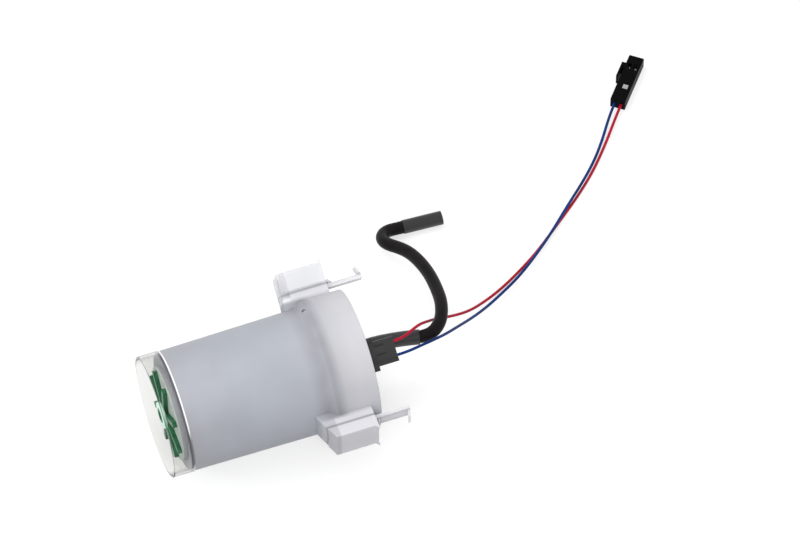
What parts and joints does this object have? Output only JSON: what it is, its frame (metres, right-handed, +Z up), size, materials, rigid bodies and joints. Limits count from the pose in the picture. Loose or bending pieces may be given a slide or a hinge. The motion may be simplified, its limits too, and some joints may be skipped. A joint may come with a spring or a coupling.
{
  "type": "in-tank fuel pump",
  "caption": "In-tank fuel pump in a round swirl pot lying on its side, with a clear skirt, green strainer star, two snap brackets, outlet hose, and red and blue leads to a connector.",
  "frame": {"origin": "on the surface that the pot lies on, below the middle of the pot with its ring, brackets and hooks", "axes": "+X along the pot from the skirt to the mouth where the hose and leads come out, +Y towards the bracket that points up and back, +Z up"},
  "size_m": [0.4075, 0.2652, 0.089],
  "materials": {
    "clear_plastic": "clear moulded plastic",
    "milky_plastic": "translucent natural acetal, satin",
    "strainer_mesh": "fine woven mesh",
    "green_plastic": "dark green moulded",
    "valve_rubber": "moulded",
    "white_plastic": "moulded acetal",
    "black_rubber": "moulded",
    "steel": "plated",
    "bronze": "sintered",
    "copper": "enamelled wire",
    "carbon": "graphite and ferrite",
    "black_plastic": "moulded, fine grain",
    "hose_rubber": "extruded, satin",
    "red_wire": "extruded sleeve",
    "blue_wire": "extruded sleeve",
    "grey_plastic": "moulded",
    "tin": "tinned"
  },
  "bodies": {
    "pot": {"base_skirt": "clear_plastic", "reservoir_cup": "milky_plastic", "strainer_disc": "strainer_mesh", "star_retainer": "green_plastic", "pump_carrier": "white_plastic", "isolator_ring": "black_rubber", "pump_shell": "steel", "inlet_cover": "black_plastic", "channel_plate": "black_plastic", "bearing_lower": "bronze", "bearing_upper": "bronze", "magnet_left": "carbon", "magnet_right": "carbon", "brush_left": "carbon", "brush_right": "carbon", "brush_spring_left": "steel", "brush_spring_right": "steel", "outlet_cover": "white_plastic", "pump_terminals": "tin", "check_spring": "steel", "relief_spring": "steel", "inlet_sock": "strainer_mesh", "plug_housing": "black_plastic", "hose": "hose_rubber", "outlet_sleeve": "black_rubber", "hose_end_sleeve": "black_rubber", "hose_clamp": "steel", "wire_red": "red_wire", "wire_blue": "blue_wire", "connector_housing": "black_plastic", "connector_lock": "grey_plastic", "connector_terminals": "tin"},
    "rotor": {"rotor_shaft": "steel", "impeller": "carbon", "armature_core": "steel", "windings": "copper", "commutator": "carbon"},
    "first_fill_valve": {"fill_valve": "valve_rubber"},
    "outlet_check": {"check_valve": "valve_rubber"},
    "pressure_relief": {"relief_ball": "steel"}
  },
  "joints": [
    {"name": "rotor_spin", "type": "hinge", "parent": "pot", "child": "rotor", "pos_m": [-0.00905, -0.0013, 0.04256], "axis": [0.9993, 0, 0.037], "continuous": true},
    {"name": "fill_valve_lift", "type": "slide", "parent": "pot", "child": "first_fill_valve", "axis": [0.9993, 0, 0.037], "range_m": [0, 0.002]},
    {"name": "check_valve_lift", "type": "slide", "parent": "pot", "child": "outlet_check", "axis": [0.9993, 0, 0.037], "range_m": [0, 0.0012], "stiffness_N_per_m": 120, "springref_m": -0.0005, "deforming": ["check_spring"]},
    {"name": "relief_valve_lift", "type": "slide", "parent": "pot", "child": "pressure_relief", "axis": [0.9993, 0, 0.037], "range_m": [0, 0.001], "stiffness_N_per_m": 200, "springref_m": -0.0005, "deforming": ["relief_spring"]}
  ]
}
